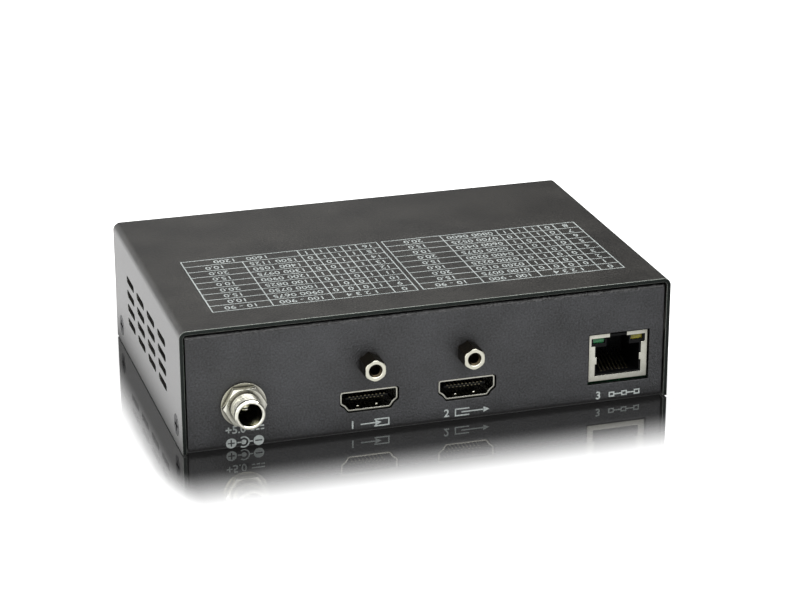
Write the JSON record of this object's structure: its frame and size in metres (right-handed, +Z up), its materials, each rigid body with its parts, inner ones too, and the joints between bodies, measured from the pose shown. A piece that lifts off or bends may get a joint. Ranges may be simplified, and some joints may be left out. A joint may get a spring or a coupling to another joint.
{
  "type": "hdmi extender",
  "caption": "Flat sheet-metal box that carries video over a network cable, with a power jack, video sockets, lock posts and a network socket on one panel and a switch on the other.",
  "frame": {"origin": "centre of the case's footprint, on the underside of the tray", "axes": "+X to the right along the connector panel as seen facing it, +Y from the connector panel to the switch panel, +Z up"},
  "size_m": [0.129, 0.0926, 0.033],
  "materials": {
    "cover_paint": "fine-textured dark grey powder coat",
    "tray_paint": "fine-textured near-black powder coat",
    "black_steel": "black plated steel screws",
    "plated_steel": "bright zinc or tin plating",
    "nickel": "bright nickel plating",
    "gold_contact": "gold-flashed contact",
    "circuit_board": "green solder mask",
    "black_plastic": "moulded, matt",
    "red_plastic": "moulded, satin",
    "white_plastic": "moulded, satin",
    "green_light": "tinted clear resin, unlit",
    "yellow_light": "tinted clear resin, unlit",
    "clear_light": "frosted clear resin, unlit",
    "chip_resin": "moulded chip body",
    "soft_pad": "soft grey heat pad",
    "black_aluminium": "black anodised",
    "bare_aluminium": "bright drawn can",
    "grey_ferrite": "pressed ferrite",
    "green_resin": "coated polymer fuse",
    "tan_ceramic": "tan ceramic",
    "print_ink": "light grey screen print on the painted steel"
  },
  "bodies": {
    "case": {"top_cover": "cover_paint", "bottom_tray": "tray_paint", "cover_screws": "black_steel", "cover_nuts": "plated_steel", "board_standoffs": "plated_steel", "board_screws": "plated_steel", "main_board": "circuit_board", "power_jack_barrel": "nickel", "power_jack_washer": "nickel", "power_jack_nut": "nickel", "power_jack_housing": "black_plastic", "power_jack_pin": "nickel", "power_jack_spring": "plated_steel", "power_jack_terminals": "plated_steel", "video_in_shell": "nickel", "video_in_insulator": "black_plastic", "video_in_contacts": "gold_contact", "video_out_shell": "nickel", "video_out_insulator": "black_plastic", "video_out_contacts": "gold_contact", "lock_posts": "nickel", "lock_post_nuts": "plated_steel", "network_shield": "nickel", "network_housing": "black_plastic", "network_contacts": "gold_contact", "network_link_light": "green_light", "network_activity_light": "yellow_light", "address_switch_cover": "red_plastic", "address_switch_base": "black_plastic", "address_switch_pins": "plated_steel", "status_lights": "clear_light", "light_holders": "black_plastic", "light_leads": "plated_steel", "main_processor": "chip_resin", "thermal_pad": "soft_pad", "heat_sink": "black_aluminium", "memory_chips": "chip_resin", "flash_chip": "chip_resin", "video_receiver_chip": "chip_resin", "video_driver_chip": "chip_resin", "network_chip": "chip_resin", "network_transformer": "chip_resin", "clock_crystals": "plated_steel", "power_inductors": "grey_ferrite", "regulator_chips": "chip_resin", "capacitor_cans": "bare_aluminium", "capacitor_bases": "black_plastic", "input_fuse": "green_resin", "surge_arrays": "chip_resin", "small_capacitors": "tan_ceramic", "small_resistors": "chip_resin"},
    "slider_1": {"address_slider_1": "white_plastic"},
    "slider_2": {"address_slider_2": "white_plastic"},
    "slider_3": {"address_slider_3": "white_plastic"},
    "slider_4": {"address_slider_4": "white_plastic"}
  },
  "joints": [
    {"name": "slider_1_travel", "type": "slide", "parent": "case", "child": "slider_1", "axis": [0, 0, 1], "range_m": [0, 0.002]},
    {"name": "slider_2_travel", "type": "slide", "parent": "case", "child": "slider_2", "axis": [0, 0, 1], "range_m": [0, 0.002]},
    {"name": "slider_3_travel", "type": "slide", "parent": "case", "child": "slider_3", "axis": [0, 0, 1], "range_m": [0, 0.002]},
    {"name": "slider_4_travel", "type": "slide", "parent": "case", "child": "slider_4", "axis": [0, 0, 1], "range_m": [0, 0.002]}
  ]
}
